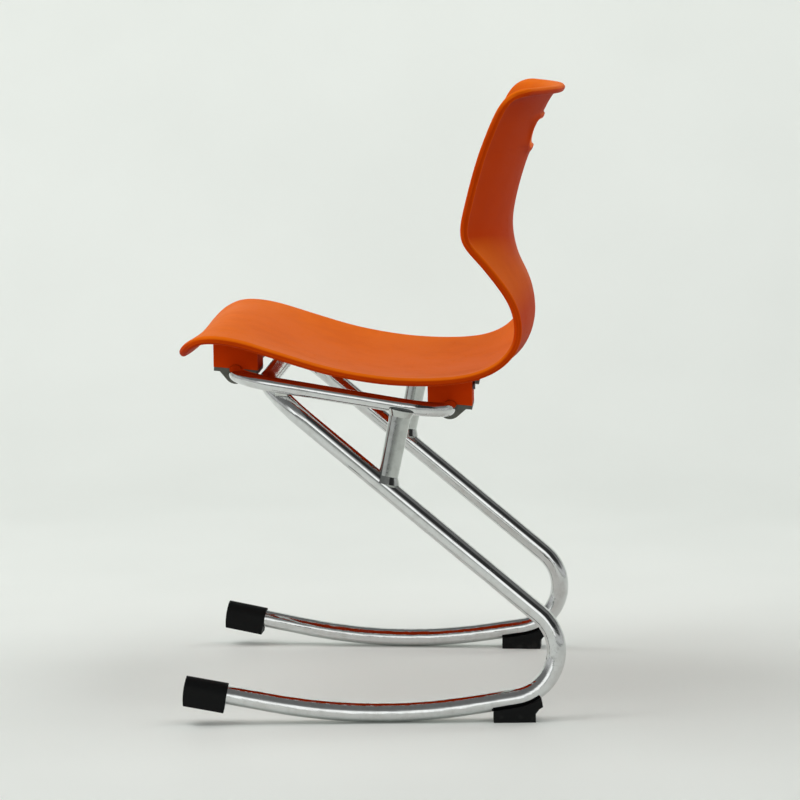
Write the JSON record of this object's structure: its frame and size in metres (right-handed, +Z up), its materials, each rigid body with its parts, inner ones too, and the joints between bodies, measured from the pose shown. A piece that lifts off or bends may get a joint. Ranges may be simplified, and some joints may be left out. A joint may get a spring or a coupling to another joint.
{
  "type": "rocking school chair",
  "caption": "Rocking school chair: a one-piece moulded plastic shell with a hand hole, on a chromed tube frame with curved runners and rear feet.",
  "frame": {"origin": "on the floor below the middle of the chair's overall box", "axes": "+Z up, -Y the way the sitter faces, +X to the right as seen from in front of the chair"},
  "size_m": [0.467, 0.4444, 0.7181],
  "materials": {
    "orange_plastic": "satin moulded",
    "chrome_tube": "bright chrome plate",
    "chrome_weld": "chrome plate over a weld bead",
    "grey_clamp": "fine grained",
    "black_rubber": "matte",
    "zinc_screw": "zinc plated",
    "black_screw": "black"
  },
  "bodies": {
    "root": {"seat_shell": "orange_plastic", "leg_frame": "chrome_tube", "seat_ring": "chrome_tube", "left_post": "chrome_tube", "right_post": "chrome_tube", "left_ring_weld": "chrome_weld", "right_ring_weld": "chrome_weld", "front_left_block": "orange_plastic", "front_right_block": "orange_plastic", "rear_left_block": "orange_plastic", "rear_right_block": "orange_plastic", "front_left_clamp": "grey_clamp", "front_right_clamp": "grey_clamp", "rear_left_clamp": "grey_clamp", "rear_right_clamp": "grey_clamp", "clamp_screws": "zinc_screw", "block_screws": "black_screw", "left_cap": "black_rubber", "right_cap": "black_rubber", "left_foot": "black_rubber", "right_foot": "black_rubber", "foot_screws": "zinc_screw"}
  },
  "joints": []
}
